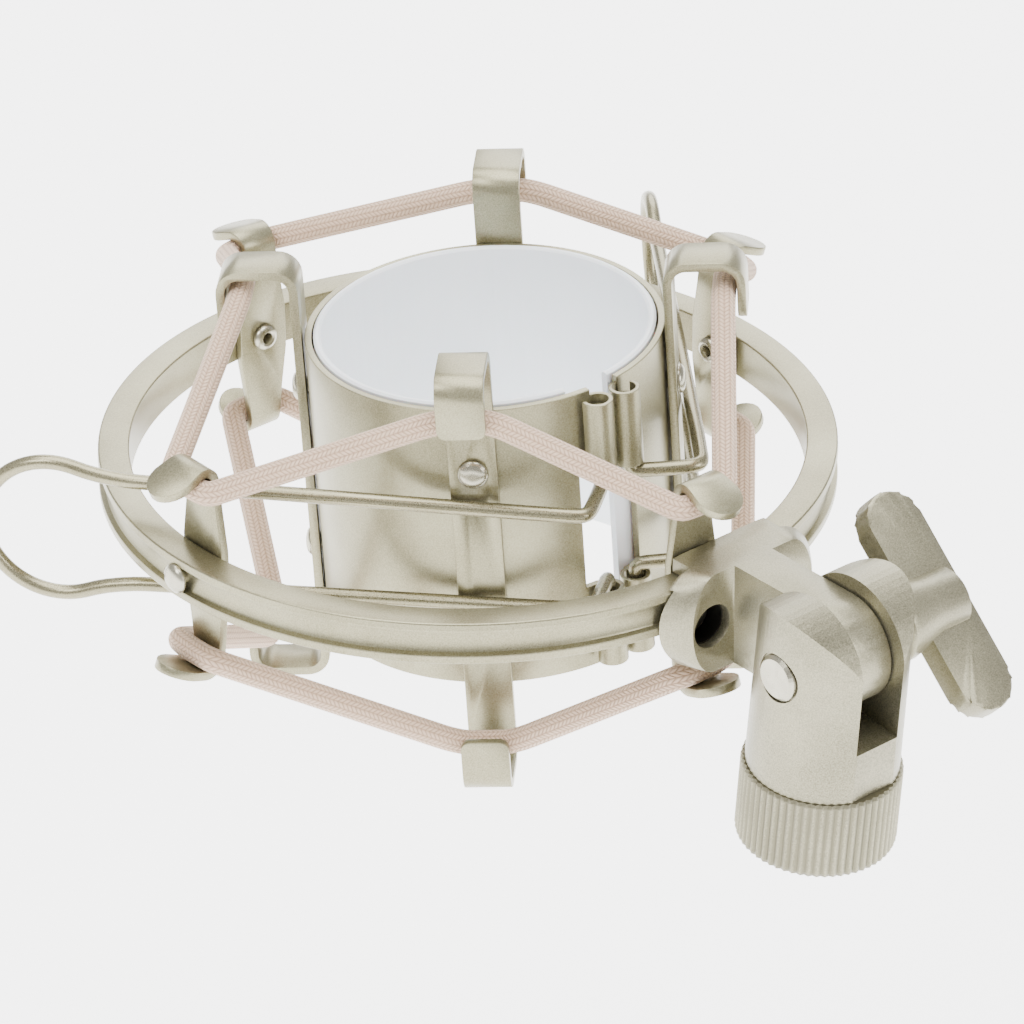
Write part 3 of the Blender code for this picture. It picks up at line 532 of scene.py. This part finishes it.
def make_sleeve():
    """Sheet sleeve: a slit wall with a hand hole at the slit and four rolled knuckles."""
    slit = math.degrees(math.asin(KNUCKLE_OFF / SLEEVE_R))
    window = math.degrees(math.asin(WINDOW_HALF / SLEEVE_R))
    angles = [-90 + slit] + [-90 + window + (360 - 2 * window) * i / 200 for i in range(201)]
    angles.append(270 - slit)
    levels = [0.0, -KNUCKLE_END, KNUCKLE_END - SLEEVE_H, -SLEEVE_H]
    bm = bmesh.new()
    grid = [[[bm.verts.new(TO_SLEEVE @ Vector((r * math.cos(math.radians(a)),
                                               r * math.sin(math.radians(a)), z)))
              for z in levels] for r in (SLEEVE_R, SLEEVE_R - SLEEVE_WALL)] for a in angles]

    def solid(i, j):
        return not (j == 1 and i in (0, len(angles) - 2)) and 0 <= i < len(angles) - 1 \
            and 0 <= j < 3

    for i in range(len(angles) - 1):
        for j in range(3):
            if not solid(i, j):
                continue
            a, b = grid[i], grid[i + 1]
            bm.faces.new((a[0][j], b[0][j], b[0][j + 1], a[0][j + 1]))
            bm.faces.new((a[1][j], a[1][j + 1], b[1][j + 1], b[1][j]))
            if not solid(i, j - 1):
                bm.faces.new((a[0][j], a[1][j], b[1][j], b[0][j]))
            if not solid(i, j + 1):
                bm.faces.new((a[0][j + 1], b[0][j + 1], b[1][j + 1], a[1][j + 1]))
            if not solid(i - 1, j):
                bm.faces.new((a[0][j], a[0][j + 1], a[1][j + 1], a[1][j]))
            if not solid(i + 1, j):
                bm.faces.new((b[0][j], b[1][j], b[1][j + 1], b[0][j + 1]))
    finish_piece("sleeve_wall", bm, SATIN, "sleeve", ["sleeve"], bevel=0.16)
    spans = ((-KNUCKLE_END, -KNUCKLE_TOP), (KNUCKLE_TOP - SLEEVE_H, KNUCKLE_END - SLEEVE_H))
    for side, sx in (("left", -1), ("right", 1)):
        for level, (z0, z1) in zip(("upper", "lower"), spans):
            rows = []
            bm = bmesh.new()
            for i in range(41):
                a = math.radians(90 + 292 * i / 40)
                row = []
                for r, z in ((KNUCKLE_R, z0), (KNUCKLE_R, z1),
                             (KNUCKLE_R - KNUCKLE_SHEET, z1), (KNUCKLE_R - KNUCKLE_SHEET, z0)):
                    local = Vector((sx * (KNUCKLE_OFF + r * math.cos(a)),
                                    -KNUCKLE_RAD + r * math.sin(a), z))
                    row.append(bm.verts.new(TO_SLEEVE @ local))
                rows.append(row)
            for one, two in zip(rows, rows[1:]):
                for j in range(4):
                    k = (j + 1) % 4
                    bm.faces.new((one[j], one[k], two[k], two[j]))
            bm.faces.new(rows[0])
            bm.faces.new(list(reversed(rows[-1])))
            finish_piece(f"knuckle_{side}_{level}", bm, SATIN, "sleeve", ["sleeve"], bevel=0.12)


def make_sleeve_rivets():
    face = I_STRUT_R + I_STRUT_T / 2 + 0.03
    for name, d in HOOK_DIRS.items():
        for level, z in zip(("upper", "lower"), RIVET_ZS):
            profile = [(0, SLEEVE_R), (RIVET_SHANK, SLEEVE_R), (RIVET_SHANK, face),
                       (RIVET_R, face), (RIVET_R + 0.02, face + 0.18),
                       (RIVET_R * 0.93, face + 0.46), (RIVET_R * 0.74, face + 0.78),
                       (RIVET_R * 0.45, face + 0.96), (RIVET_R * 0.2, face + 0.99),
                       (0, face + 0.97)]
            node = f"sleeve_rivet_{name}_{level}"
            bm = button(profile, facing(TO_SLEEVE, d, 0, z))
            finish_piece(node + "_turned", bm, RIVET, "sleeve", [node])


def wire_line(name):
    sx, corner, run, rise = WIRE_RUNS[name]
    corner, run = Vector(corner), Vector(run).normalized()
    mid = -SLEEVE_H / 2
    knuckle = Vector((sx * KNUCKLE_OFF, -KNUCKLE_RAD))

    def along(s, height):
        return Vector((corner.x + run.x * s, corner.y + run.y * s, mid + rise * s + height))

    arms = []
    for side in (1, -1):
        inner, outer = side * WIRE_GAP_IN, side * WIRE_GAP_OUT
        start = -KNUCKLE_TOP - 1.2 if side > 0 else KNUCKLE_TOP + 1.2 - SLEEVE_H
        arm = [Vector((*knuckle, start)), Vector((*knuckle, mid + inner)), along(0, inner)]
        arm += [along(WIRE_NECK, outer), along(WIRE_NECK + 3.6, outer + side * 0.15)]
        arms.append(rounded(arm, [0, 1.4, 2.4, 2.0, 0]))
    loop = []
    for i in range(49):
        a = math.radians(122 - 244 * i / 48)
        loop.append(along(LOOP_CENTRE + LOOP_R * math.cos(a), LOOP_R * math.sin(a)))
    line = arms[0] + loop + list(reversed(arms[1]))
    for _ in range(3):
        line = [line[0]] + [a * 0.25 + b * 0.5 + c * 0.25
                            for a, b, c in zip(line, line[1:], line[2:])] + [line[-1]]
    return [TO_SLEEVE @ p for p in line]


def make_wires():
    for name in WIRE_RUNS:
        points, marks = evenly(wire_line(name), 0.6)
        bm = tube(points, marks, WIRE_R, 20)
        body = name.replace("wire_handle", "handle")
        finish_piece(name + "_drawn", bm, WIRE, body, [name], smooth=60.0)


# ---------------------------------------------------------------- elastic cords

def make_bands():
    """Each band as eight lengths of braided cord, from the middle of a strut to a hook."""
    struts = ["front", "right", "back", "left"]
    hooks = ["front_right", "back_right", "back_left", "front_left"]
    seat = O_STRUT_R + O_STRUT_T / 2 + BAND_R + 0.25
    edge = O_HALF_NECK + 1.3
    for band, sign in (("band_upper", 1), ("band_lower", -1)):
        neck = O_LIFT + sign * (O_TAB_Z - 0.5 - BAND_R - 0.4)
        for i, hook in enumerate(hooks):
            lift = HOOK_SEATS[hook] if sign > 0 else BAND_LOW_SEAT - SLEEVE_H - HOOK_DOWN
            for strut, turn in ((struts[i], 1), (struts[(i + 1) % 4], -1)):
                s, h = STRUT_DIRS[strut], HOOK_DIRS[hook]
                points = [spot(TO_RING, s, seat, 0, neck), spot(TO_RING, s, seat, 2.0 * turn, neck),
                          spot(TO_RING, s, seat - 0.3, edge * turn, neck),
                          spot(TO_SLEEVE, h, BAND_HOOK_R, -BAND_HOOK_HALF * turn, lift),
                          spot(TO_SLEEVE, h, BAND_HOOK_R, 0, lift)]
                line, marks = evenly(rounded(points, [0, 1.0, 1.4, 3.0, 0]), 0.5)
                bm = tube(line, marks, BAND_R, 28, columns=BAND_COLUMNS, pitch=BAND_PITCH)
                name = f"{band}_{hook}_{strut}"
                obj = finish_piece(name, bm, BRAID, None, [band], smooth=70.0)
                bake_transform(obj)


# ---------------------------------------------------------------- stage, light and camera

FLOOR_DROP = 0.12
CAMERA = Matrix((
    (0.7595653, 0.3315231, -0.5596007, -0.4713615),
    (-0.6482232, 0.4566636, -0.6093153, -0.4505241),
    (0.0535472, 0.8255608, 0.5617667, 0.4888424),
    (0.0, 0.0, 0.0, 1.0)))

def make_stage(low):
    bpy.ops.mesh.primitive_grid_add(x_subdivisions=8, y_subdivisions=8, size=8.0,
                                    location=(0, 0.5, low - FLOOR_DROP))
    floor = bpy.context.active_object
    floor.name = "studio_floor"
    sh = Shader("studio_paper")
    sh.link(sh.ramp(sh.noise(3.0), [(0.3, (0.93, 0.93, 0.93)), (0.7, (0.95, 0.95, 0.95))]),
            sh.out.inputs["Base Color"])
    sh.set(Roughness=0.95, Emission_Color=(1.0, 1.0, 1.0, 1.0), Emission_Strength=2.8)
    floor.data.materials.append(sh.mat)
    world = bpy.data.worlds.new("studio")
    bpy.context.scene.world = world
    world.use_nodes = True
    background = world.node_tree.nodes["Background"]
    background.inputs["Color"].default_value = (1.0, 1.0, 1.0, 1.0)
    background.inputs["Strength"].default_value = 0.75


def area_light(name, at, towards, size, power):
    data = bpy.data.lights.new(name, "AREA")
    data.shape = "DISK"
    data.size = size
    data.energy = power
    lamp = bpy.data.objects.new(name, data)
    bpy.context.scene.collection.objects.link(lamp)
    lamp.location = at
    lamp.rotation_mode = "QUATERNION"
    lamp.rotation_quaternion = (Vector(towards) - Vector(at)).to_track_quat("-Z", "Y")


def make_lights():
    aim = (0.0, 0.06, 0.03)
    area_light("overhead_softbox", (0.0, 0.3, 1.5), (0.0, 0.3, 0.0), 1.6, 45.0)
    area_light("key_softbox", (-0.75, 0.1, 0.75), aim, 0.4, 5.0)
    area_light("fill_softbox", (0.25, -0.9, 0.45), aim, 0.5, 6.0)
    area_light("back_softbox", (1.2, 1.35, 0.95), aim, 1.5, 28.0)


def make_camera():
    data = bpy.data.cameras.new("photo_camera")
    data.sensor_width = 36.0
    data.lens = 217.66
    data.clip_start, data.clip_end = 0.05, 20.0
    camera = bpy.data.objects.new("photo_camera", data)
    bpy.context.scene.collection.objects.link(camera)
    camera.matrix_world = CAMERA
    bpy.context.scene.camera = camera


# ---------------------------------------------------------------- put it together

def dress_nodes():
    """Give every CAD node its finish, and round over the edges of the strips and castings."""
    cast = ("swivel_body", "wing_handle", "ring_bracket")
    soft = {}
    for node, obj in frame["nodes"].items():
        name = node.lower()
        if "screw" in name:
            mat = STEEL if "bracket" in name else RIVET
        elif "liner" in name:
            mat = LINER
        elif "band" in name:
            mat = BRAID
        elif "rivet" in name:
            mat = RIVET
        elif "wire" in name:
            mat = WIRE
        elif any(c in name for c in cast):
            # the swivel gets the lacquer with painted shade in its knurl grooves
            mat = KNURLED_PAINTED_SHADE if "swivel" in name else CAST
        else:
            mat = SATIN
        for slot in obj.material_slots:
            slot.material = mat
        if "strut" in name:
            soft[node] = (mat, 0.14)
        if name in ("ring_bracket", "wing_handle"):
            soft[node] = (mat, 0.3)
    for node, (mat, width) in soft.items():
        softened(node, mat, width)


make_ring()
make_ring_rivets()
make_counterbore_shade_cups()
make_sleeve()
make_sleeve_rivets()
make_wires()
make_bands()
dress_nodes()
make_stage(CAD_BOX[0][2])
make_lights()
make_camera()
